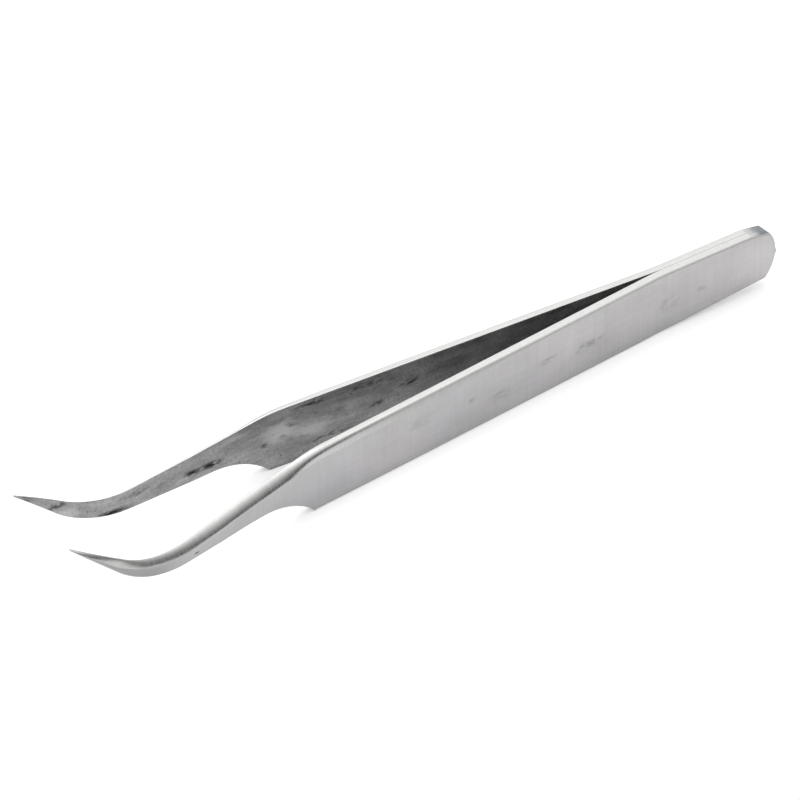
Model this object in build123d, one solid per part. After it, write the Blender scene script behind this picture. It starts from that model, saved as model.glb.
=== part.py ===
"""Curved-point tweezers: two stainless arms, pressed from strip and welded together at the rear.

Millimetres. X runs from the rear end towards the points, Z is up, and Y is the way the arms spread.
The tweezers stand on the straight lower edges of their handles, with the hooked points kept clear.
Every outline below counts X from the rear end; the finished arms are then moved to mid length.
"""
from build123d import *
import math
import os

# Lengths along X, which add up to the overall length
handle_length = 78.9
shank_length = 24.5
hook_length = 11.6

# Thickness: the strip's own, then ground thinner on the outside, from a lead before the shoulder on
strip_thickness = 1.25
shank_thickness = 1.1
point_thickness = 0.25
grind_lead = 18.9
point_grind_length = 22.0

# Upper edge in side view: heights above the surface that the handles stand on
rear_height = 9.4
shoulder_height = 8.93
shoulder_blend = 22.0
bend_height = 3.9
bend_top_radius = 13.0
point_height = 11.3

# Lower edge in side view: risen at the rear, scalloped at the shoulder, then bent up into the hook
rear_rise = 1.6
handle_blend = 120.0
scallop_radius = 9.9
scallop_depth = 3.07
bend_depth = 2.62
bend_shift = 1.3
bend_bottom_radius = 13.0
point_depth = 0.25

# Rear end: the length that is welded, its round end, and the dressed flat over the weld's end
weld_length = 19.7
rear_upper_radius = 4.5
rear_lower_radius = 5.8
dressing_length = 4.6
dressing_depth = 0.75
seam_groove = 0.12

# Plan view: how each arm leaves the middle
arm_angle = 4.4
arm_bend_radius = 50.0
flare_start = 11.0
flare_angle = 5.9
flare_blend = 60.0
toe_in_length = 6.2
toe_in_angle = 8.5
toe_in_radius = 40.0

# Outer long edges: rounded, with an upper bevel that widens from a lead before the shoulder on
edge_round = 0.4
bevel_lead = 26.9
bevel_run = 42.0
bevel_height = 1.3
bevel_width = 0.62
corner_turn = 84.0

# Lean of the ground outer face below the bevel, which grows from the shoulder on
face_lean = 6.0
lean_run = 14.0

# The most that an edge may take of a thin section's height and of its thickness
height_share = 0.45
thickness_share = 0.8

# Stock left below the handle, which is ground off to the flat edge that the tweezers stand on
edge_stock = 0.03

# Steps between cross-sections along the straight handle, and round the bends
handle_step = 6.0
bend_step = 2.0

# How far a cutting shape reaches past the arm
clear = 4.0

overall_length = handle_length + shank_length + hook_length
bend_x = handle_length + shank_length
grind_x = handle_length - grind_lead
bevel_x = handle_length - bevel_lead


def slope(degrees):
    """Rise for each millimetre of run."""
    return math.tan(math.radians(degrees))


def ramp(x, start, run):
    """Share from 0 at start to 1 at a run further on."""
    return min(max((x - start) / run, 0.0), 1.0)


def crossing(outline, x):
    """Where an outline that runs steadily towards +X passes over station x."""
    low = 0.0
    high = 1.0
    for _ in range(30):
        middle = (low + high) / 2
        if outline.position_at(middle).X < x:
            low = middle
        else:
            high = middle
    return outline.position_at(low).Y


def upper_edge():
    """Side view: level over the weld, then gently down the handle, down the shank and up the hook."""
    hook_slope = (point_height - bend_height) / hook_length
    return FilletPolyline(
        (-clear, rear_height),
        (weld_length, rear_height),
        (handle_length, shoulder_height),
        (bend_x, bend_height),
        (overall_length + clear, point_height + clear * hook_slope),
        radius=[handle_blend, shoulder_blend, bend_top_radius],
    )


def handle_lower_edge():
    """Side view: risen at the rear, then the straight edge that the tweezers stand on."""
    return FilletPolyline(
        (-clear, rear_rise * (weld_length + clear) / weld_length),
        (weld_length, 0),
        (handle_length, 0),
        radius=handle_blend,
    )


def shank_lower_edge():
    """Side view: the round scallop at the shoulder, then the underside of the shank and the hook."""
    half_chord = math.sqrt(scallop_radius**2 - (scallop_radius - scallop_depth) ** 2)
    centre = Vector(handle_length + half_chord, scallop_depth - scallop_radius)
    corner = Vector(bend_x + bend_shift, bend_height - bend_depth)
    point = Vector(overall_length, point_height - point_depth)
    past_point = point + (point - corner).normalized() * clear
    towards = corner - centre
    tangent_angle = math.atan2(towards.Y, towards.X) + math.acos(scallop_radius / towards.length)
    start = Vector(handle_length, 0)
    top = centre + Vector(0, scallop_radius)
    finish = centre + Vector(math.cos(tangent_angle), math.sin(tangent_angle)) * scallop_radius
    scallop = ThreePointArc(start, top, finish)
    underside = FilletPolyline(finish, corner, past_point, radius=bend_bottom_radius)
    return Wire([*scallop.edges(), *underside.edges()])


def inner_face_line():
    """Plan view: on the middle plane at the weld, then spread, flared and toed in at the point."""
    flare_x = handle_length + flare_start
    flare_y = (flare_x - weld_length) * slope(arm_angle)
    toe_x = overall_length - toe_in_length
    toe_y = flare_y + (toe_x - flare_x) * slope(flare_angle)
    end_x = overall_length + clear
    end_y = toe_y - (end_x - toe_x) * slope(toe_in_angle)
    return FilletPolyline(
        (-clear, 0),
        (weld_length, 0),
        (flare_x, flare_y),
        (toe_x, toe_y),
        (end_x, end_y),
        radius=[arm_bend_radius, flare_blend, toe_in_radius],
    )


def rounded_corner(start, corner, finish):
    """Arc across a section's corner, which meets its two sides almost smoothly."""
    middle = (start + finish) / 2
    outward = (corner - middle).normalized()
    bulge = (finish - start).length / 2 * math.tan(math.radians(corner_turn) / 4)
    return ThreePointArc(start, middle + outward * bulge, finish)


def thickness_at(x):
    """Strip thickness at station x: whole along the handle, then ground in two straight tapers."""
    point_grind_x = overall_length - point_grind_length
    first = ramp(x, grind_x, point_grind_x - grind_x)
    second = ramp(x, point_grind_x, point_grind_length)
    ground_off = (strip_thickness - shank_thickness) * first
    return strip_thickness - ground_off - (shank_thickness - point_thickness) * second


def cross_section(x, top, bottom, depth, inner):
    """Section at station x, square on the inside, rounded below and bevelled above on the outside."""
    thickness = thickness_at(x)
    outer = inner + thickness
    beyond_inner = inner - strip_thickness
    grown = ramp(x, bevel_x, bevel_run)
    grown = grown * grown * (3 - 2 * grown)
    high = min(edge_round + (bevel_height - edge_round) * grown, height_share * depth)
    wide = min(edge_round + (bevel_width - edge_round) * grown, thickness_share * thickness)
    low = min(edge_round, thickness_share * thickness / 2)
    top_inner = Vector(x, beyond_inner, top)
    top_bevel = Vector(x, outer - wide, top)
    face_bevel = Vector(x, outer, top - high)
    lean_angle = face_lean * ramp(x, handle_length, lean_run)
    lean = slope(lean_angle) * (top - high - bottom - low)
    face_round = Vector(x, outer - lean, bottom + low)
    bottom_round = Vector(x, outer - lean - low, bottom)
    bottom_inner = Vector(x, beyond_inner, bottom)
    return Wire(
        [
            Line(top_inner, top_bevel).edge(),
            rounded_corner(top_bevel, Vector(x, outer, top), face_bevel).edge(),
            Line(face_bevel, face_round).edge(),
            rounded_corner(face_round, Vector(x, outer - lean, bottom), bottom_round).edge(),
            Line(bottom_round, bottom_inner).edge(),
            Line(bottom_inner, top_inner).edge(),
        ]
    )


def stations():
    """Section places: far apart along the handle, close together from the shoulder to the point."""
    bend_from = handle_length - 2 * bend_step
    handle_count = max(round(bend_from / handle_step), 2)
    bend_count = round((overall_length + bend_step - bend_from) / bend_step)
    handle = [-bend_step + (bend_from + bend_step) * i / handle_count for i in range(handle_count)]
    bend_run = overall_length + bend_step - bend_from
    bends = [bend_from + bend_run * i / bend_count for i in range(bend_count + 1)]
    return handle + bends


def blank():
    """The formed strip: its outer face, upper edge and edge bevels, with spare stock elsewhere."""
    upper = upper_edge()
    handle = handle_lower_edge()
    shank = shank_lower_edge()
    inner = inner_face_line()
    sections = []
    for x in stations():
        top = crossing(upper, x)
        bottom = crossing(handle, x)
        depth = top - (crossing(shank, x) if x > handle_length else bottom)
        sections.append(cross_section(x, top, bottom - edge_stock, depth, crossing(inner, x)))
    return Solid.make_loft(sections)


def inner_stock():
    """Everything on the middle plane's side of the inner face, over the whole length."""
    line = inner_face_line()
    start = line @ 0
    end = line @ 1
    far = -2 * clear
    outline = Wire([*line.edges(), *Polyline(end, (end.X, far), (start.X, far), start).edges()])
    tall = extrude(Face(outline), amount=point_height + 2 * clear, dir=(0, 0, 1))
    return Pos(0, 0, -clear) * tall


def side_cutter(outline):
    """A shape drawn in side view, wide enough to cut through one arm."""
    return extrude(Plane.XZ * Face(outline), amount=4 * clear, both=True)


def underside_cutter():
    """What is cut away below the handle, the scallop, the shank and the hook."""
    handle = handle_lower_edge()
    shank = shank_lower_edge()
    start = handle @ 0
    end = shank @ 1
    around = Polyline(end, (end.X, -clear), (start.X, -clear), start)
    return side_cutter(Wire([*handle.edges(), *shank.edges(), *around.edges()]))


def rear_end_cutter():
    """What is cut away round the rear end, which is a larger arc below and a smaller one above."""
    middle = (rear_height + rear_rise) / 2
    high = rear_height + 2 * clear
    lower_foot = Vector(rear_lower_radius, middle - rear_lower_radius)
    upper_foot = Vector(rear_upper_radius, middle + rear_upper_radius)
    lower_arc = RadiusArc(lower_foot, (0, middle), rear_lower_radius)
    upper_arc = RadiusArc((0, middle), upper_foot, rear_upper_radius)
    around = Polyline(
        upper_foot,
        (upper_foot.X, high),
        (-2 * clear, high),
        (-2 * clear, -2 * clear),
        (lower_foot.X, -2 * clear),
        lower_foot,
    )
    return side_cutter(Wire([*lower_arc.edges(), *upper_arc.edges(), *around.edges()]))


def weld_dressing_cutter():
    """The slanting flat that is ground over the end of the weld, across both arms."""
    fall = dressing_depth / dressing_length
    back = -2 * clear
    return side_cutter(
        Wire(
            Polyline(
                (dressing_length, rear_height),
                (back, rear_height - fall * (dressing_length - back)),
                (back, rear_height + clear),
                (dressing_length, rear_height + clear),
                close=True,
            ).edges()
        )
    )


def groove_cutter():
    """The notch that the arms' broken inner edges leave along the top of the weld seam."""
    side = seam_groove * math.sqrt(2)
    notch = Rectangle(side, side, rotation=45)
    groove_length = weld_length + 2 * clear
    return extrude(Plane(origin=(-clear, 0, rear_height), z_dir=(1, 0, 0)) * notch, amount=groove_length)


def left_arm():
    """The arm on the +Y side."""
    arm = blank() - inner_stock()
    arm = arm - underside_cutter()
    arm = arm - weld_dressing_cutter()
    arm = arm - rear_end_cutter()
    arm = arm - groove_cutter()
    end_plane = Plane(origin=(overall_length, 0, 0), z_dir=(1, 0, 0))
    arm = split(arm, bisect_by=end_plane, keep=Keep.BOTTOM)
    return Pos(-overall_length / 2, 0, 0) * arm


def right_arm():
    """The arm on the -Y side, its mirror image, which meets it face to face at the weld."""
    return mirror(left_arm(), about=Plane.XZ)


def main():
    os.makedirs("parts", exist_ok=True)
    export_step(left_arm(), "parts/left_arm.step")
    export_step(right_arm(), "parts/right_arm.step")


main()
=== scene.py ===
import math

import bmesh
import bpy
import numpy as np
from mathutils import Matrix, Vector


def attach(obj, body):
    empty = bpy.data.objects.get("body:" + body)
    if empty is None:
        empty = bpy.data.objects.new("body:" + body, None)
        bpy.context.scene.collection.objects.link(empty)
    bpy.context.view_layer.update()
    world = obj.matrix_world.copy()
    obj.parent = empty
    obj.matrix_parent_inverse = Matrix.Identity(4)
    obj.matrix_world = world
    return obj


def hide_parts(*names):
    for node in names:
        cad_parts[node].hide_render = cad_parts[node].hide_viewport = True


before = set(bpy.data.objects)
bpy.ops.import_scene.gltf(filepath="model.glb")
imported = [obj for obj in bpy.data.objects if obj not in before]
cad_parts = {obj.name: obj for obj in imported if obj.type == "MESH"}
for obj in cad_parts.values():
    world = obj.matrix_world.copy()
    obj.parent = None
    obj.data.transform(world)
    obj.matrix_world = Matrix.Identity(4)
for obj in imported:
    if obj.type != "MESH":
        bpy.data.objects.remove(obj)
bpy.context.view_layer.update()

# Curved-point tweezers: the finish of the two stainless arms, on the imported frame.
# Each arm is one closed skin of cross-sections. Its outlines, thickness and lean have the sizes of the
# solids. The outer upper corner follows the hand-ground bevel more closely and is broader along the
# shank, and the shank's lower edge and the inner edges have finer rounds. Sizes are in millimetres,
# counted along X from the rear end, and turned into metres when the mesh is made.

MM = 0.001
SEED = 7

# Lengths along X
handle_length = 78.9
shank_length = 24.5
hook_length = 11.6
overall_length = handle_length + shank_length + hook_length
bend_x = handle_length + shank_length

# Side view, as in the solids
rear_height = 9.4
shoulder_height = 8.93
shoulder_blend = 22.0
handle_blend = 120.0
bend_height = 3.9
bend_top_radius = 13.0
point_height = 11.3
rear_rise = 1.6
scallop_radius = 9.9
scallop_depth = 3.07
bend_depth = 2.62
bend_shift = 1.3
bend_bottom_radius = 13.0
point_depth = 0.25
rear_middle = (rear_height + rear_rise) / 2
rear_upper_radius = 4.5
rear_lower_radius = 5.8
dressing_length = 4.6
dressing_depth = 0.75

# Plan view and thickness, as in the solids
weld_length = 19.7
arm_angle = 4.4
arm_bend_radius = 50.0
flare_start = 11.0
flare_angle = 5.9
flare_blend = 60.0
toe_in_length = 6.2
toe_in_angle = 8.5
toe_in_radius = 40.0
strip_thickness = 1.25
shank_thickness = 1.1
point_thickness = 0.25
grind_lead = 18.9
point_grind_length = 22.0

# Lower outer edge
edge_round = 0.4                # radius along the handle
shank_lower_round = 0.16        # radius along the shank and the hook
round_depth_share = 0.3         # most of the section's depth that it takes up
round_thickness_share = 0.4     # most of its thickness

# Inner edges
inner_break = 0.07              # radius of their break
seam_break = 0.11               # the wider one along the weld's seam
seam_fade = 0.8                 # length over which it starts, at the front end of the dressed flat
break_share = 0.25              # most of the section's thickness that it takes up

# Ground outer face
face_lean = 6.0                 # degrees, which it reaches from the shoulder on
lean_run = 14.0                 # over this length

# Upper outer edge, with the waves that a hand-held grind leaves along it: their length, and their share of
# the corner's height
height_share = 0.45             # most of the section's depth that the ground corner takes up
thickness_share = 0.93          # most of its thickness
bevel_waves = ((7.0, 0.05), (1.7, 0.025))

# Outlines
corner_points = 60              # on each rounded corner
scallop_points = 160
run_past = 4                    # how far a line runs past the arm's ends
contour_blend = 0.05            # how softly the round of the rear end meets it
clear_height = 99.0             # a height that is clear of them all

# Mesh
section_step = 0.22             # between cross-sections
rear_turn_step = 2.5            # degrees between them on the round of the rear end
across_face = 10                # faces across the outer and the inner face
across_top = 3                  # across the upper edge and the underside
across_corner = 12              # across each outer corner
across_break = 2                # across the break of each inner edge
least_depth = 0.01              # of a section
join_distance = 0.0004          # points nearer than this become one
sharp_angle = 11                # degrees from which an edge looks sharp


def slope(degrees):
    """Rise for each millimetre of run."""
    return math.tan(math.radians(degrees))


def smooth(x, start, finish):
    """Share from 0 at start to 1 at finish, easing in and out."""
    t = np.clip((x - start) / (finish - start), 0, 1)
    return t * t * (3 - 2 * t)


def filleted(points, radii):
    """A run of straight lines whose corners are rounded, as closely spaced points."""
    points = [np.array(p, float) for p in points]
    line = [points[0]]
    for before, corner, after, radius in zip(points, points[1:], points[2:], radii):
        to_before = (before - corner) / np.linalg.norm(before - corner)
        to_after = (after - corner) / np.linalg.norm(after - corner)
        half = math.acos(np.clip(to_before @ to_after, -1, 1)) / 2
        reach = radius / math.tan(half)
        middle = (to_before + to_after) / np.linalg.norm(to_before + to_after)
        centre = corner + middle * radius / math.sin(half)
        start = corner + to_before * reach - centre
        finish = corner + to_after * reach - centre
        first = math.atan2(start[1], start[0])
        last = math.atan2(finish[1], finish[0])
        turn = (last - first + math.pi) % (2 * math.pi) - math.pi
        for t in np.linspace(0, 1, corner_points):
            angle = first + turn * t
            line.append(centre + radius * np.array([math.cos(angle), math.sin(angle)]))
    line.append(points[-1])
    return np.array(line)


def over(line, x):
    """Height of an outline over stations x."""
    return np.interp(x, line[:, 0], line[:, 1])


def softer(a, b, blend):
    """The lower of two heights, with the corner between them eased."""
    return -blend * np.logaddexp(-a / blend, -b / blend)


def upper_line():
    """Side view: level over the weld, down the handle and the shank, and up the hook."""
    rise = (point_height - bend_height) / hook_length
    return filleted(
        [
            (-run_past, rear_height),
            (weld_length, rear_height),
            (handle_length, shoulder_height),
            (bend_x, bend_height),
            (overall_length + run_past, point_height + run_past * rise),
        ],
        [handle_blend, shoulder_blend, bend_top_radius],
    )


def handle_lower_line():
    """Side view: risen at the rear, then the straight edge that the tweezers stand on."""
    end_height = rear_rise * (weld_length + run_past) / weld_length
    return filleted([(-run_past, end_height), (weld_length, 0), (handle_length, 0)], [handle_blend])


def shank_lower_line():
    """Side view: the scallop, then the underside of the shank and the hook."""
    half_chord = math.sqrt(scallop_radius**2 - (scallop_radius - scallop_depth) ** 2)
    centre = np.array([handle_length + half_chord, scallop_depth - scallop_radius])
    corner = np.array([bend_x + bend_shift, bend_height - bend_depth])
    point = np.array([overall_length, point_height - point_depth])
    towards = corner - centre
    reach = np.linalg.norm(towards)
    last = math.atan2(towards[1], towards[0]) + math.acos(scallop_radius / reach)
    first = math.pi - math.acos(half_chord / scallop_radius)
    turns = np.linspace(first, last, scallop_points)
    arc = centre + scallop_radius * np.stack([np.cos(turns), np.sin(turns)], 1)
    beyond = point + (point - corner) / np.linalg.norm(point - corner) * run_past
    return np.concatenate([arc, filleted([arc[-1], corner, beyond], [bend_bottom_radius])])


def inner_line():
    """Plan view of the inner face: on the middle plane at the weld, then spread and toed in."""
    flare_x = handle_length + flare_start
    flare_y = (flare_x - weld_length) * slope(arm_angle)
    toe_x = overall_length - toe_in_length
    toe_y = flare_y + (toe_x - flare_x) * slope(flare_angle)
    end_x = overall_length + run_past
    end_y = toe_y - (toe_in_length + run_past) * slope(toe_in_angle)
    return filleted(
        [(-run_past, 0), (weld_length, 0), (flare_x, flare_y), (toe_x, toe_y), (end_x, end_y)],
        [arm_bend_radius, flare_blend, toe_in_radius],
    )


# The outer upper corner as (place along the arm, value there): its width and height, how steeply it
# leaves the top and meets the face (degrees above level), and how far it keeps to each direction
BEVEL_WIDE = ((52, 0.4), (71, 0.5), (84, 0.95))
BEVEL_HIGH = ((40, 0.4), (60, 1.2), (79, 1.3), (99, 1.2), (105, 1.0))
TOP_TURN = ((52, 88), (76, 86), (85, 74), (100, 72), (106, 52), (115, 45))
LOW_TURN = ((40, 1), (58, 5), (77, 8), (84, 19), (101, 19), (107, 20))
TOP_REACH = ((52, 0.55), (79, 0.5), (85, 0.42), (115, 0.36))
LOW_REACH = ((40, 0.55), (58, 0.8), (79, 0.7), (85, 0.42), (115, 0.36))

UPPER = upper_line()
HANDLE_LOWER = handle_lower_line()
SHANK_LOWER = shank_lower_line()
INNER = inner_line()


def thickness_at(x):
    """Whole along the handle, then ground off in two straight tapers."""
    grind_x = handle_length - grind_lead
    point_grind_x = overall_length - point_grind_length
    first = np.clip((x - grind_x) / (point_grind_x - grind_x), 0, 1)
    second = np.clip((x - point_grind_x) / point_grind_length, 0, 1)
    ground_off = (strip_thickness - shank_thickness) * first
    return strip_thickness - ground_off - (shank_thickness - point_thickness) * second


def rear_arc(x, radius, sign):
    """Height of the round of the rear end, above (1) or below (-1) its middle; further forward it is
    clear of the outlines."""
    rise = np.sqrt(np.clip(radius**2 - (radius - x) ** 2, 0, None))
    return np.where(x < radius, rear_middle + sign * rise, sign * clear_height)


def top_at(x):
    """Height of the upper contour, with the dressed flat and the round of the rear end."""
    arc = rear_arc(x, rear_upper_radius, 1)
    flat = rear_height - dressing_depth * (1 - x / dressing_length)
    dressed = np.where(x < dressing_length, flat, clear_height)
    return np.minimum(softer(over(UPPER, x), arc, contour_blend), dressed)


def low_at(x):
    """Height of the lower contour, with the round of the rear end."""
    arc = rear_arc(x, rear_lower_radius, -1)
    edge = np.where(x <= handle_length, over(HANDLE_LOWER, x), over(SHANK_LOWER, x))
    return np.where(x < rear_lower_radius, -softer(-edge, -arc, contour_blend), edge)


def stations():
    """Section places: along the round rear end by equal turns, then by equal steps."""
    turns = np.radians(np.arange(0, 90, rear_turn_step))
    rear = rear_upper_radius * (1 - np.cos(turns))
    handle_sections = round((handle_length - rear_upper_radius) / section_step)
    shank_sections = round((overall_length - handle_length) / section_step)
    handle = np.linspace(rear_upper_radius, handle_length, handle_sections)
    shank = np.linspace(handle_length, overall_length, shank_sections)
    return np.concatenate([rear, handle, shank[1:]])


def inward(x, z, sign):
    """Unit vectors in side view that point from a contour into the arm."""
    dx = np.gradient(x)
    dz = np.gradient(z)
    dx[0] = 0.0
    dz[0] = -sign
    length = np.hypot(dx, dz)
    return -sign * dz / length, sign * dx / length


def wander(x, wave_length, seed):
    """A smooth random line along the arm, from -1 to 1, as a hand-held grind leaves."""
    rng = np.random.default_rng(seed)
    knots = np.arange(-2, overall_length / wave_length + 4)
    values = rng.uniform(-1, 1, len(knots))
    place = x / wave_length + 1
    knot = np.floor(place).astype(int)
    share = smooth(place - knot, 0, 1)
    return values[knot + 1] * (1 - share) + values[knot + 2] * share


def bezier(p0, p1, p2, p3, count):
    """Points on a cubic curve, from just after its start to its end."""
    t = np.linspace(0, 1, count + 1)[1:, None, None]
    return (1 - t) ** 3 * p0 + 3 * (1 - t) ** 2 * t * p1 + 3 * (1 - t) * t**2 * p2 + t**3 * p3


def blended(x, keys):
    """A size that eases between the places where it is known."""
    places = np.array([k[0] for k in keys], float)
    values = np.array([k[1] for k in keys], float)
    result = np.full(len(x), values[0])
    for a, b, u, v in zip(places, places[1:], values, values[1:]):
        result = np.where(x >= a, u + (v - u) * smooth(x, a, b), result)
    return np.where(x >= places[-1], values[-1], result)


def upper_corner(x, thickness, depth):
    """Control points (in from the outer face, down from the contour) of the outer upper corner."""
    wide = np.minimum(blended(x, BEVEL_WIDE), thickness_share * thickness)
    high = blended(x, BEVEL_HIGH)
    for i, (wave_length, share) in enumerate(bevel_waves):
        high = high * (1 + share * wander(x, wave_length, SEED + i))
    high = np.minimum(high, height_share * depth)
    top_turn = np.radians(blended(x, TOP_TURN))
    low_turn = np.radians(blended(x, LOW_TURN))
    top_reach = blended(x, TOP_REACH) * wide
    low_reach = blended(x, LOW_REACH) * high
    p0 = np.stack([wide, np.zeros_like(x)], 1)
    p3 = np.stack([np.zeros_like(x), high], 1)
    p1 = p0 + np.stack([-np.sin(top_turn) * top_reach, np.cos(top_turn) * top_reach], 1)
    p2 = p3 + np.stack([np.sin(low_turn) * low_reach, -np.cos(low_turn) * low_reach], 1)
    return p0, p1, p2, p3


def steps_to_one(count):
    """Equal shares from just after 0 to 1."""
    return [i / count for i in range(1, count + 1)]


def quarter_turn(count):
    """Equal angles from just after 0 to a right angle."""
    return [math.pi / 2 * i / count for i in range(1, count + 1)]


def arm_sections():
    """Every cross-section of the +Y arm, as points (section, place round it, xyz), and the finish of
    the strip of faces that ends at each place round it."""
    x = stations()
    top = top_at(x)
    low = low_at(x)
    top[0] = low[0] = rear_middle
    thickness = thickness_at(x)
    depth = np.maximum(top - low, least_depth)
    top_nx, top_nz = inward(x, top, -1)
    low_nx, low_nz = inward(x, low, 1)
    lean = slope(face_lean) * smooth(x, handle_length, handle_length + lean_run)
    past_flat = smooth(x, dressing_length - seam_fade, dressing_length)
    broken = np.where(x < weld_length, seam_break, inner_break) * past_flat
    broken = np.minimum(broken, break_share * thickness)
    broken_low = np.minimum(inner_break, break_share * thickness)
    p0, p1, p2, p3 = upper_corner(x, thickness, depth)
    high = p3[:, 1]
    drop = lean * np.maximum(depth - high, 0)

    def top_point(a, b):
        """Place that lies a in from the outer face, b into the arm from the upper contour."""
        px = np.minimum(x + top_nx * b, overall_length)
        return np.stack([px, over(INNER, px) + thickness_at(px) - a, top + top_nz * b], 1)

    def low_point(a, b):
        """Place that lies a in from the outer face, b into the arm from the lower contour."""
        px = np.minimum(x + low_nx * b, overall_length)
        leant = lean * np.maximum(depth - high - b, 0)
        return np.stack([px, over(INNER, px) + thickness_at(px) - leant - a, low + low_nz * b], 1)

    none = np.zeros_like(x)
    ring = [top_point(thickness, broken)]
    finishes = ["inner"]

    def add(points, finish):
        """Takes the section on to the next place round it, by a strip of faces of that finish."""
        ring.append(points)
        finishes.append(finish)

    for turn in quarter_turn(across_break):
        add(top_point(thickness - broken * (1 - math.cos(turn)), broken * (1 - math.sin(turn))), "edge")
    for share in steps_to_one(across_top):
        add(top_point((thickness - broken) * (1 - share) + p0[:, 0] * share, none), "edge")
    for c in bezier(p0, p1, p2, p3, across_corner):
        add(top_point(c[:, 0], c[:, 1]), "bevel")
    face_top = ring[-1]
    round_size = np.where(x < handle_length, edge_round, shank_lower_round)
    round_size = np.minimum(round_size, round_depth_share * depth)
    round_size = np.minimum(round_size, round_thickness_share * thickness)
    face_low = low_point(none, round_size)
    for share in steps_to_one(across_face):
        add(face_top * (1 - share) + face_low * share, "outer")
    for turn in quarter_turn(across_corner):
        add(low_point(round_size * (1 - math.cos(turn)), round_size * (1 - math.sin(turn))), "low_edge")
    for share in steps_to_one(across_top):
        add(low_point(round_size * (1 - share) + (thickness - drop - broken_low) * share, none), "under")
    for turn in quarter_turn(across_break):
        flat = thickness - drop - broken_low * (1 - math.sin(turn))
        add(low_point(flat, broken_low * (1 - math.cos(turn))), "under")
    low_inner = ring[-1]
    for share in steps_to_one(across_face)[:-1]:
        add(low_inner * (1 - share) + ring[0] * share, "inner")
    points = np.stack(ring, 1)
    fold_rear(points)
    return points, finishes


def fold_rear(points):
    """Lays the first section flat, its lower half on its upper half, so that the rear end is closed."""
    half = across_break + across_top + across_corner
    first = points[0]
    for j in range(half + 1):
        first[2 * half + across_face - j] = first[j]
    first[half : half + across_face + 1] = first[half]
    first[2 * half + across_face :] = first[0]


# The finishes, in the order of the skin's material slots
FINISH_ORDER = ("edge", "bevel", "outer", "low_edge", "under", "inner", "dressed")


def strip_places(points):
    """For each point, the millimetres along the arm and round the section from the inner upper edge."""
    steps = np.linalg.norm(np.diff(points[:, :, [0, 2]].mean(1), axis=0), axis=1)
    along = np.concatenate([[0], np.cumsum(steps)])
    rounds = np.linalg.norm(np.roll(points, -1, 1) - points, axis=2)
    across = np.concatenate([np.zeros((len(points), 1)), np.cumsum(rounds, 1)], 1)
    return along, across


def arm_mesh(name, side):
    """The closed skin of one arm; side is 1 for +Y and -1 for -Y."""
    points, finishes = arm_sections()
    along, across = strip_places(points)
    finishes = [FINISH_ORDER.index(f) for f in finishes]
    dressed = FINISH_ORDER.index("dressed")
    inner = FINISH_ORDER.index("inner")
    sections, around, _ = points.shape
    faces = []
    slots = []
    places = []
    for i in range(sections - 1):
        for j in range(around):
            k = (j + 1) % around
            face = [i * around + j, i * around + k, (i + 1) * around + k, (i + 1) * around + j]
            # The inner face counts back from the upper edge, so that its lines run true past the shoulder
            back = across[:, -1] if finishes[k] == inner else np.zeros_like(along)
            place = [
                (along[i], across[i, j] - back[i], side),
                (along[i], across[i, j + 1] - back[i], side),
                (along[i + 1], across[i + 1, j + 1] - back[i + 1], side),
                (along[i + 1], across[i + 1, j] - back[i + 1], side),
            ]
            if side > 0:
                face.reverse()
                place.reverse()
            faces.append(face)
            places.extend(place)
            on_top = 0 < j < across_break + across_top + across_corner // 2
            on_flat = on_top and points[i + 1, j, 0] < dressing_length
            slots.append(dressed if on_flat else finishes[k])
    last = (sections - 1) * around
    cap = [(last + j, (along[-1], across[-1, j], side)) for j in range(around)]
    if side > 0:
        cap.reverse()
    faces.append([c[0] for c in cap])
    places.extend(c[1] for c in cap)
    slots.append(finishes[1])
    place_in_frame = points - np.array([overall_length / 2, 0, 0])
    place_in_frame[:, :, 1] *= side
    mesh = bpy.data.meshes.new(name)
    mesh.from_pydata((place_in_frame.reshape(-1, 3) * MM).tolist(), [], faces)
    mesh.polygons.foreach_set("material_index", slots)
    strip = mesh.attributes.new("strip_place", "FLOAT_VECTOR", "CORNER")
    strip.data.foreach_set("vector", np.array(places, np.float32).ravel())
    mesh.update()
    return mesh


def close_skin(mesh):
    """Joins the points that meet at the rear end, and shades the faces smooth up to the real edges."""
    skin = bmesh.new()
    skin.from_mesh(mesh)
    bmesh.ops.remove_doubles(skin, verts=skin.verts, dist=join_distance * MM)
    bmesh.ops.recalc_face_normals(skin, faces=skin.faces)
    skin.to_mesh(mesh)
    skin.free()
    mesh.shade_smooth()
    mesh.set_sharp_from_angle(angle=math.radians(sharp_angle))


def linear(code):
    """An sRGB hex colour as the linear values that a shader takes."""
    channels = [int(code[i : i + 2], 16) / 255 for i in (1, 3, 5)]
    return [c / 12.92 if c <= 0.04045 else ((c + 0.055) / 1.055) ** 2.4 for c in channels] + [1.0]


def add_node(tree, kind, settings=None, inputs=None, output=0):
    """Adds a node, sets its properties, sets or links its inputs, and returns one of its outputs."""
    node = tree.nodes.new(kind)
    for key, value in (settings or {}).items():
        setattr(node, key, value)
    for key, value in (inputs or {}).items():
        if isinstance(value, bpy.types.NodeSocket):
            tree.links.new(value, node.inputs[key])
        else:
            node.inputs[key].default_value = value
    return node.outputs[output] if node.outputs else None


def new_tree(owner):
    """An emptied node tree for a material or a world."""
    owner.use_nodes = True
    owner.node_tree.nodes.clear()
    return owner.node_tree


def remap(tree, value, low, high, to_low, to_high, eased=False):
    """A value moved from one range to another, and kept inside it."""
    return add_node(
        tree,
        "ShaderNodeMapRange",
        {"interpolation_type": "SMOOTHSTEP" if eased else "LINEAR"},
        {"Value": value, "From Min": low, "From Max": high, "To Min": to_low, "To Max": to_high},
    )


# The range that noise mostly keeps to
NOISE_RANGE = (0.3, 0.7)

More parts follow.
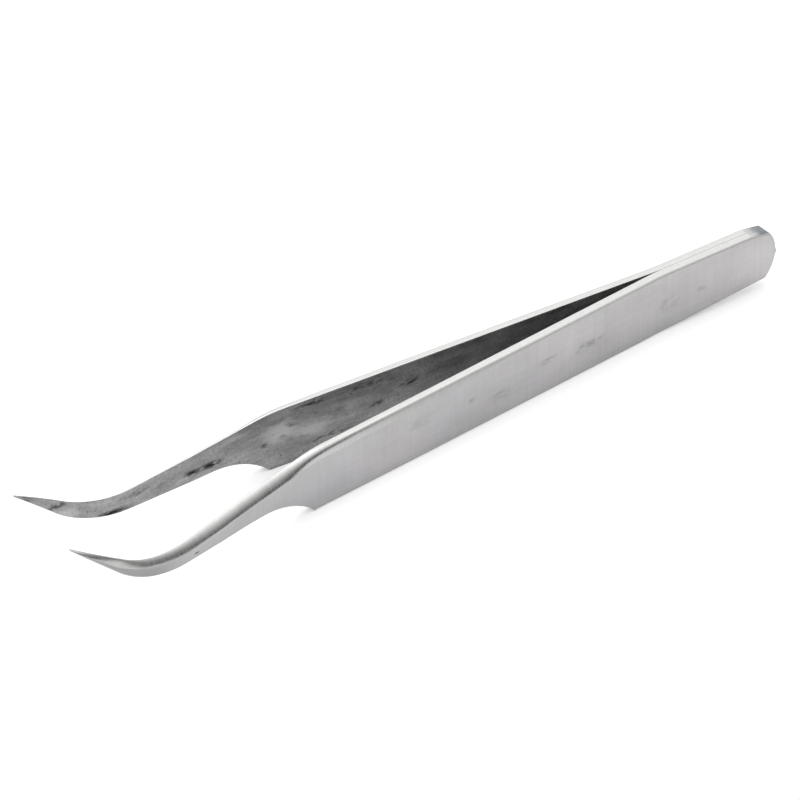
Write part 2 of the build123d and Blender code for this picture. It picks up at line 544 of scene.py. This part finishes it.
# The strip's third coordinate is 1 on one arm and -1 on the other. Times this, it keeps their grain apart.
arm_shift = 0.37


class Steel:
    """A stainless surface under way: its node tree, the places on it, and its colour so far."""

    def __init__(self, name, colour):
        self.material = bpy.data.materials.new(name)
        self.tree = new_tree(self.material)
        attribute = {"attribute_name": "strip_place"}
        self.strip = add_node(self.tree, "ShaderNodeAttribute", attribute, {}, "Vector")
        in_frame = add_node(self.tree, "ShaderNodeTexCoord", {}, {}, "Object")
        self.frame_mm = self.stretched(in_frame, (MM, MM, MM))
        self.colour = add_node(self.tree, "ShaderNodeRGB")
        self.colour.default_value = linear(colour)

    def stretched(self, place, sizes):
        """A place counted in these sizes along its three axes."""
        per_size = tuple(1 / size for size in sizes)
        return add_node(self.tree, "ShaderNodeVectorMath", {"operation": "MULTIPLY"}, {0: place, 1: per_size})

    def along(self):
        """Millimetres along the arm from its rear end."""
        return add_node(self.tree, "ShaderNodeSeparateXYZ", {}, {"Vector": self.strip}, "X")

    def grain(self, long, wide, detail, shift=0.0):
        """Noise from 0 to 1 whose marks are about that long and that wide on the strip, in
        millimetres. A shift of its own keeps each pattern apart from the others."""
        place = self.stretched(self.strip, (long, wide, 1 / (arm_shift + shift)))
        inputs = {"Vector": place, "Scale": 1.0, "Detail": detail}
        return add_node(self.tree, "ShaderNodeTexNoise", {}, inputs)

    def spread(self, pattern, low, high):
        """A noise pattern, spread between two values."""
        return remap(self.tree, pattern, *NOISE_RANGE, low, high)

    def mask(self, pattern, start, full, most=1.0):
        """A share that rises from 0 to the most while a pattern rises from its start to full."""
        return remap(self.tree, pattern, start, full, 0.0, most)

    def shade(self, level):
        """Multiplies the colour by a level."""
        inputs = {0: self.colour, "Scale": level}
        self.colour = add_node(self.tree, "ShaderNodeVectorMath", {"operation": "SCALE"}, inputs)

    def tint(self, share, colour):
        """Moves the colour towards another by a share."""
        # A Mix node takes its share at 0 and two colours at 6 and 7, and gives a colour at 2
        inputs = {0: share, 6: self.colour, 7: linear(colour)}
        self.colour = add_node(self.tree, "ShaderNodeMix", {"data_type": "RGBA"}, inputs, 2)

    def mark(self, centre, half_size, softness, share, colour):
        """Moves the colour towards another by a share, inside a soft ellipse round a place."""
        inputs = {0: self.frame_mm, 1: centre}
        away = add_node(self.tree, "ShaderNodeVectorMath", {"operation": "SUBTRACT"}, inputs)
        away = self.stretched(away, half_size)
        far = add_node(self.tree, "ShaderNodeVectorMath", {"operation": "LENGTH"}, {0: away}, "Value")
        inside = remap(self.tree, far, 1 - softness, 1.0, 1.0, 0.0, True)
        share = add_node(self.tree, "ShaderNodeMath", {"operation": "MULTIPLY"}, {0: inside, 1: share})
        self.tint(share, colour)

    def finish(self, roughness, relief, relief_mm):
        """Makes the shader. The roughness is the sum of its parts. The relief is the sum of its
        patterns, each times its weight, and is that high in millimetres."""
        rough = 0.0
        for part in roughness:
            rough = add_node(self.tree, "ShaderNodeMath", {"operation": "ADD"}, {0: rough, 1: part})
        height = 0.0
        for pattern, weight in relief:
            inputs = {0: pattern, 1: weight, 2: height}
            height = add_node(self.tree, "ShaderNodeMath", {"operation": "MULTIPLY_ADD"}, inputs)
        inputs = {"Height": height, "Strength": 1.0, "Distance": relief_mm * MM}
        bump = add_node(self.tree, "ShaderNodeBump", {}, inputs)
        inputs = {"Base Color": self.colour, "Metallic": 1.0, "Roughness": rough, "Normal": bump}
        shader = add_node(self.tree, "ShaderNodeBsdfPrincipled", {}, inputs)
        add_node(self.tree, "ShaderNodeOutputMaterial", {}, {"Surface": shader})
        return self.material


def place_on(side, x, z):
    """A place on the face that the camera sees of an arm: outer for +Y, inner for -Y, in frame mm."""
    y = float(over(INNER, np.array([x]))[0])
    y = y + float(thickness_at(np.array([x]))[0]) if side > 0 else -y
    return (x - overall_length / 2, y, z)


# Stains on the outer faces: place along and height, half length and half height, and how dark
OUTER_STAINS = (
    (33.2, 4.3, 4.2, 0.9, 0.6),
    (40.0, 5.0, 2.5, 0.7, 0.45),
    (18.7, 4.4, 2.6, 1.8, 0.3),
    (48.5, 3.4, 3.0, 1.6, 0.3),
    (10.7, 1.4, 0.9, 0.3, 0.7),
    (53.1, 4.9, 0.8, 0.5, 0.7),
    (12.9, 4.6, 1.6, 1.0, 0.25),
    (62.0, 5.4, 3.4, 1.2, 0.22),
)

# A nick low on the shank's outer face, in the same way
OUTER_NICK = (97.5, 2.8, 0.55, 0.22, 0.9)

# Grime on the inner faces: place, half size, how dark, and where in its noise it starts to show
INNER_GRIME = (
    (87.4, 4.3, 2.6, 0.8, 1.0, 0.36),
    (90.0, 4.1, 1.9, 0.7, 1.0, 0.36),
    (96.5, 3.8, 4.0, 0.7, 0.6, 0.42),
    (101.3, 2.2, 3.6, 0.7, 1.0, 0.3),
    (108.8, 6.4, 2.6, 0.7, 0.8, 0.38),
    (93.5, 6.2, 1.6, 0.5, 0.6, 0.42),
    (58.0, 6.0, 2.5, 0.8, 0.85, 0.42),
    (63.0, 4.4, 1.6, 0.7, 0.8, 0.42),
    (72.5, 8.2, 3.8, 0.6, 0.8, 0.4),
    (65.0, 8.0, 5.0, 0.7, 0.7, 0.42),
    (70.0, 2.2, 5.0, 0.9, 0.6, 0.44),
    (79.6, 4.2, 0.8, 0.5, 0.8, 0.36),
)

# Painted highlights: brighter patches on the inner faces, in place of light reflected there: place, half size
# and strength
INNER_BRIGHT = (
    (77.0, 5.6, 3.6, 2.6, 1.0),
    (72.5, 4.4, 4.0, 2.0, 0.8),
    (67.0, 5.6, 4.0, 1.8, 0.4),
    (83.5, 7.0, 2.4, 0.5, 0.5),
    (107.5, 4.4, 3.0, 1.2, 0.4),
)

# A brownish film on the inner faces near the points: place, half size, and the least and most of it
INNER_FILM = (113.4, 9.7, 2.2, 1.6, 0.1, 0.7)

# Marks
outer_mark_reach = 4.0          # how far a mark reaches through the strip from the outer face
inner_mark_reach = 2.0          # the same from the inner face
mark_softness = 0.9             # share of a mark over which it fades out
rubbed_softness = 0.8           # the same for a painted highlight

# How a mark breaks up: where in its noise it starts to show, and where it is whole
stain_start = 0.42
stain_full = 0.62
grime_rise = 0.14               # from where a row's own grime starts
rubbed_start = 0.32
rubbed_full = 0.5
film_start = 0.35
film_full = 0.6

# Painted shade: where the outer face is darkened up the hook, in place of the dimmer reflection that it shows
# there
hook_shade_start = 98
hook_shade_end = 106
hook_shade = 0.72               # share of its brightness that is left

# Where tumbled satin gives way to the ground bevel, and how rough each is
grinding_start = 60
grinding_full = 80
satin_roughness = 0.52
ground_roughness = 0.2

# Where the weld's blue fades out, behind the front end of its dressed flat
heat_fade_start = 2.2
heat_fade_end = 0.3

# Pits in the inner faces
pit_spacing_along = 1.1
pit_spacing_across = 0.8
pit_floor = 0.06                # radius of a pit's floor, as a share of the spacing
pit_rim = 0.17                  # radius of its rim
pit_dirt = 0.85                 # how dark it is


def satin_outer_face():
    """Stainless strip, tumbled to an even satin: soft and pale, with faint lines along the strip,
    cloudy patches that its handling left, a few dull stains and a nick, and painted shade that darkens it up
    the hook."""
    # The marks of tumbling are too fine to show, so they are drawn as coarse as they need to be
    steel = Steel("satin_tumbled_stainless", "#cdcbcb")
    clouds = steel.grain(long=11, wide=5, detail=3)
    lines = steel.grain(long=9, wide=0.22, detail=3, shift=1.1)
    cross = steel.grain(long=0.5, wide=9, detail=3, shift=2.3)
    fine = steel.grain(long=0.35, wide=0.3, detail=2, shift=3.1)
    warm = steel.grain(long=24, wide=12, detail=1, shift=4.7)
    smudge = steel.grain(long=1.3, wide=0.5, detail=4, shift=5.2)
    steel.tint(steel.mask(warm, 0.4, 0.62, 0.6), "#cac9cc")
    steel.shade(steel.spread(clouds, 0.9, 1.06))
    steel.shade(steel.spread(lines, 0.955, 1.03))
    steel.shade(steel.spread(cross, 0.965, 1.02))
    steel.shade(steel.spread(fine, 0.98, 1.02))
    # Painted shade: the colour is darkened up the hook, in place of a dimmer reflection there
    steel.shade(remap(steel.tree, steel.along(), hook_shade_start, hook_shade_end, 1.0, hook_shade, True))
    for x, z, long, high, depth in OUTER_STAINS:
        share = steel.mask(smudge, stain_start, stain_full, depth)
        steel.mark(place_on(1, x, z), (long, outer_mark_reach, high), mark_softness, share, "#6f6d6c")
    x, z, long, high, depth = OUTER_NICK
    steel.mark(place_on(1, x, z), (long, outer_mark_reach, high), mark_softness, depth, "#4b4948")
    roughness = (steel.spread(clouds, 0.36, 0.44), steel.spread(lines, -0.02, 0.03))
    relief = ((cross, 0.35), (fine, 0.25), (lines, 0.8), (clouds, 6.0))
    return steel.finish(roughness, relief, 0.0011)


def ground_bevel():
    """The upper outer edge: tumbled satin along the handle, and from just before the shoulder on ground
    by hand on a fine belt, bright with short scratches across it that break up its reflections."""
    # A fine belt's scratches are a few hundredths of a millimetre wide, too fine to show, so they are
    # drawn coarser
    steel = Steel("belt_ground_stainless", "#cdcdcc")
    scratch = steel.grain(long=0.16, wide=2.6, detail=3, shift=1.7)
    coarse = steel.grain(long=0.55, wide=3.5, detail=2, shift=2.9)
    slow = steel.grain(long=5.0, wide=2.0, detail=2, shift=4.1)
    steel.shade(steel.spread(scratch, 0.96, 1.03))
    steel.shade(steel.spread(coarse, 0.97, 1.02))
    edges = (grinding_start, grinding_full, satin_roughness, ground_roughness)
    ground = remap(steel.tree, steel.along(), *edges, True)
    relief = ((scratch, 0.7), (coarse, 1.6), (slow, 5.0))
    return steel.finish((steel.spread(scratch, -0.03, 0.05), ground), relief, 0.0004)


def polished_edge():
    """The narrow upper edge, rubbed on the same belt along the strip: nearly a mirror line."""
    steel = Steel("linished_stainless_edge", "#d3d3d1")
    lines = steel.grain(long=3.0, wide=0.12, detail=3, shift=0.6)
    nicks = steel.grain(long=0.7, wide=0.5, detail=3, shift=2.2)
    steel.shade(steel.spread(lines, 0.95, 1.03))
    steel.shade(steel.spread(nicks, 0.96, 1.02))
    return steel.finish((steel.spread(lines, 0.22, 0.32),), ((lines, 1.0), (nicks, 1.2)), 0.0009)


def tumbled_lower_edge():
    """The lower outer edge, rounded only by tumbling: satin, with painted shade that makes it a little darker
    where it turns.
    """
    # Painted shade: a base colour a little darker than the outer face's, where the edge turns away
    steel = Steel("tumbled_edge_painted_shade", "#c2c1c1")
    lines = steel.grain(long=4.0, wide=0.2, detail=3, shift=0.9)
    steel.shade(steel.spread(lines, 0.93, 1.04))
    return steel.finish((steel.spread(lines, 0.33, 0.42),), ((lines, 1.0),), 0.001)


def stamped_underside():
    """The lower edge as it was stamped: a sheared band, dull, with lines square to the strip."""
    steel = Steel("sheared_stainless_edge", "#aeadac")
    shear = steel.grain(long=0.25, wide=1.6, detail=3, shift=0.4)
    steel.shade(steel.spread(shear, 0.88, 1.06))
    return steel.finish((steel.spread(shear, 0.38, 0.5),), ((shear, 1.0),), 0.002)


def dressed_weld():
    """The end of the weld, dressed on a wheel: a heat-tinted blue-grey flat with coarse marks, whose
    tint fades out towards its front end."""
    steel = Steel("wheel_dressed_weld", "#7b8187")
    marks = steel.grain(long=2.4, wide=0.18, detail=3, shift=0.2)
    heat = steel.grain(long=2.0, wide=1.2, detail=2, shift=1.9)
    steel.tint(steel.mask(heat, 0.4, 0.65, 0.6), "#a1a5a8")
    forward = add_node(steel.tree, "ShaderNodeSeparateXYZ", {}, {"Vector": steel.frame_mm}, "X")
    flat_end = dressing_length - overall_length / 2
    fade = remap(steel.tree, forward, flat_end - heat_fade_start, flat_end - heat_fade_end, 0.0, 1.0, True)
    steel.tint(fade, "#c6c7c6")
    steel.shade(steel.spread(marks, 0.85, 1.08))
    return steel.finish((steel.spread(marks, 0.3, 0.45),), ((marks, 1.0),), 0.002)


def pitting(steel, where):
    """Share of each place that lies in a pit, from 0 to 1, in the parts of a face that are pitted."""
    tree = steel.tree
    place = steel.stretched(steel.strip, (pit_spacing_along, pit_spacing_across, 1.0))
    inputs = {"Vector": place, "Scale": 1.0, "Randomness": 1.0}
    far = add_node(tree, "ShaderNodeTexVoronoi", {"feature": "F1"}, inputs, "Distance")
    in_pit = remap(tree, far, pit_floor, pit_rim, 1.0, 0.0)
    return add_node(tree, "ShaderNodeMath", {"operation": "MULTIPLY"}, {0: in_pit, 1: where})


def dull_inner_face():
    """The inner faces, left as rolled and pickled: dark and mottled, with lengthwise drawing lines,
    pits, tarnish, grime that has gathered where a cloth does not reach, and painted highlights."""
    # Drawing lines are too fine to show, so they are drawn 0.16 mm wide
    steel = Steel("rolled_pickled_stainless", "#bab9ba")
    tree = steel.tree
    mottle = steel.grain(long=2.6, wide=1.1, detail=4, shift=0.8)
    patches = steel.grain(long=9.0, wide=3.4, detail=3, shift=1.6)
    lines = steel.grain(long=7.0, wide=0.16, detail=4, shift=2.4)
    speckle = steel.grain(long=0.35, wide=0.25, detail=3, shift=3.3)
    pitted = steel.grain(long=3.0, wide=1.6, detail=2, shift=6.1)
    smear = steel.grain(long=1.1, wide=0.4, detail=4, shift=7.3)
    steel.shade(steel.spread(patches, 0.78, 1.16))
    steel.shade(steel.spread(mottle, 0.82, 1.14))
    steel.shade(steel.spread(lines, 0.84, 1.12))
    steel.shade(steel.spread(speckle, 0.76, 1.12))
    pits = pitting(steel, steel.mask(pitted, 0.45, 0.56))
    dirt = add_node(tree, "ShaderNodeMath", {"operation": "MULTIPLY"}, {0: pits, 1: pit_dirt})
    steel.tint(dirt, "#333130")
    for x, z, long, high, depth, start in INNER_GRIME:
        share = steel.mask(smear, start, start + grime_rise, depth)
        steel.mark(place_on(-1, x, z), (long, inner_mark_reach, high), mark_softness, share, "#2e2c2b")
    # Painted highlights: brighter patches in place of light that the inner faces reflect
    for x, z, long, high, depth in INNER_BRIGHT:
        share = steel.mask(mottle, rubbed_start, rubbed_full, depth)
        steel.mark(place_on(-1, x, z), (long, inner_mark_reach, high), rubbed_softness, share, "#dededf")
    x, z, long, high, least, most = INNER_FILM
    share = remap(tree, smear, film_start, film_full, least, most)
    steel.mark(place_on(-1, x, z), (long, inner_mark_reach, high), mark_softness, share, "#5a4c45")
    roughness = (steel.spread(mottle, 0.4, 0.5), steel.spread(lines, -0.04, 0.05))
    relief = ((lines, 1.0), (speckle, 0.5), (pits, -3.0))
    return steel.finish(roughness, relief, 0.0016)


FINISHES = {
    "edge": polished_edge(),
    "bevel": ground_bevel(),
    "outer": satin_outer_face(),
    "low_edge": tumbled_lower_edge(),
    "under": stamped_underside(),
    "inner": dull_inner_face(),
    "dressed": dressed_weld(),
}


def make_arm(name, node, side):
    """One arm's skin, in place of its solid."""
    mesh = arm_mesh(name, side)
    for finish in FINISH_ORDER:
        mesh.materials.append(FINISHES[finish])
    close_skin(mesh)
    arm = bpy.data.objects.new(name, mesh)
    bpy.context.scene.collection.objects.link(arm)
    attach(arm, "root")
    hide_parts(node)


make_arm("left_arm_skin", "left_arm", 1)
make_arm("right_arm_skin", "right_arm", -1)

# Camera, where the photograph was taken from: degrees, millimetres and pixels
view_azimuth = 35.403
view_elevation = 36.493
view_roll = -0.407
view_distance = 500.0
view_aim = (0.0, 0.0, 5.0)
view_shift_right = -3.447
view_shift_up = -0.359
view_focal_px = 3889.5
photo_px = 800
sensor_width = 36.0

# Table, in metres: how far it reaches behind and to either side, and how far in front of the tweezers. Its
# short front lets the face of the near arm mirror the dark foot of the tent. The camera sees it lifted to
# white by a glow of its own.
table_reach = 0.6
table_front = 0.075
table_glow = 0.32


def place_camera():
    """The camera at the photograph's viewing angle."""
    az = math.radians(view_azimuth)
    el = math.radians(view_elevation)
    roll = math.radians(view_roll)
    back = Vector((math.sin(az) * math.cos(el), math.cos(az) * math.cos(el), math.sin(el)))
    level = Vector((-math.cos(az), math.sin(az), 0))
    above = back.cross(level)
    right = level * math.cos(roll) + above * math.sin(roll)
    up = above * math.cos(roll) - level * math.sin(roll)
    aside = right * view_shift_right + up * view_shift_up
    eye = (Vector(view_aim) + aside + back * view_distance) * MM
    data = bpy.data.cameras.new("photo_camera")
    data.sensor_width = sensor_width
    data.lens = view_focal_px / photo_px * sensor_width
    camera = bpy.data.objects.new("photo_camera", data)
    camera.matrix_world = Matrix.Translation(eye) @ Matrix((right, up, back)).transposed().to_4x4()
    bpy.context.scene.collection.objects.link(camera)
    bpy.context.scene.camera = camera


def make_floor():
    """A matt white table, which the camera sees as white apart from the soft shadow."""
    mesh = bpy.data.meshes.new("table")
    corners = [
        (-table_reach, -table_reach, 0),
        (table_reach, -table_reach, 0),
        (table_reach, table_front, 0),
        (-table_reach, table_front, 0),
    ]
    mesh.from_pydata(corners, [], [(0, 1, 2, 3)])
    floor = bpy.data.objects.new("table", mesh)
    bpy.context.scene.collection.objects.link(floor)
    material = bpy.data.materials.new("matt_white_table")
    tree = new_tree(material)
    paper = add_node(tree, "ShaderNodeBsdfDiffuse", {}, {"Color": linear("#e2e2e2")})
    seen = add_node(tree, "ShaderNodeLightPath", {}, {}, "Is Camera Ray")
    glow = add_node(tree, "ShaderNodeMath", {"operation": "MULTIPLY"}, {0: seen, 1: table_glow})
    lift = add_node(tree, "ShaderNodeEmission", {}, {"Color": linear("#ffffff"), "Strength": glow})
    shader = add_node(tree, "ShaderNodeAddShader", {}, {0: paper, 1: lift})
    add_node(tree, "ShaderNodeOutputMaterial", {}, {"Surface": shader})
    mesh.materials.append(material)


# Light of the tent on the metal
horizon_light = 0.07            # at the table's level
ceiling_light = 1.5             # overhead
back_light = 0.3                # added behind the tweezers (-Y)
back_low_gain = 2.2             # how many times as much of it there is low down
rear_light = 0.55               # added past their rear end (-X)

# Where each of these starts and ends, on an axis of a direction of length 1
tent_heights = (0.02, 0.95)
back_sides = (-0.65, 0.0)
back_heights = (0.1, 0.6)
rear_ends = (-0.95, -0.68)


def make_world():
    """A plain studio: white to the camera, and to the metal a light tent that is dark at the level of
    the table, brightens steadily upwards, and is a little brighter behind the tweezers and past
    their rear end."""
    world = bpy.data.worlds.new("studio")
    bpy.context.scene.world = world
    tree = new_tree(world)
    direction = add_node(tree, "ShaderNodeTexCoord", {}, {}, "Generated")
    forward = add_node(tree, "ShaderNodeSeparateXYZ", {}, {"Vector": direction}, "X")
    aside = add_node(tree, "ShaderNodeSeparateXYZ", {}, {"Vector": direction}, "Y")
    height = add_node(tree, "ShaderNodeSeparateXYZ", {}, {"Vector": direction}, "Z")
    room = remap(tree, height, *tent_heights, horizon_light, ceiling_light)
    behind = remap(tree, aside, *back_sides, back_light, 0.0)
    gain = remap(tree, height, *back_heights, back_low_gain, 1.0)
    behind = add_node(tree, "ShaderNodeMath", {"operation": "MULTIPLY"}, {0: behind, 1: gain})
    rearward = remap(tree, forward, *rear_ends, rear_light, 0.0)
    for light in (behind, rearward):
        room = add_node(tree, "ShaderNodeMath", {"operation": "ADD"}, {0: room, 1: light})
    seen = add_node(tree, "ShaderNodeLightPath", {}, {}, "Is Camera Ray")
    # A Mix node takes its share at 0 and two numbers at 2 and 3
    strength = add_node(tree, "ShaderNodeMix", {"data_type": "FLOAT"}, {0: seen, 2: room, 3: 1.0})
    shader = add_node(tree, "ShaderNodeBackground", {}, {"Color": linear("#ffffff"), "Strength": strength})
    add_node(tree, "ShaderNodeOutputWorld", {}, {"Surface": shader})


def softbox(name, direction, size, distance, watts):
    """A soft lamp, measured in metres, that faces the tweezers from a direction."""
    data = bpy.data.lights.new(name, "AREA")
    data.shape = "RECTANGLE"
    data.size, data.size_y = size
    data.energy = watts
    lamp = bpy.data.objects.new(name, data)
    aim = Vector(direction).normalized()
    lamp.location = aim * distance
    lamp.rotation_euler = aim.to_track_quat("Z", "Y").to_euler()
    bpy.context.scene.collection.objects.link(lamp)


place_camera()
make_floor()
make_world()
softbox("top_softbox", direction=(0.05, -0.25, 0.95), size=(1.0, 0.7), distance=1.3, watts=2.5)

bpy.context.scene.view_settings.view_transform = "Standard"
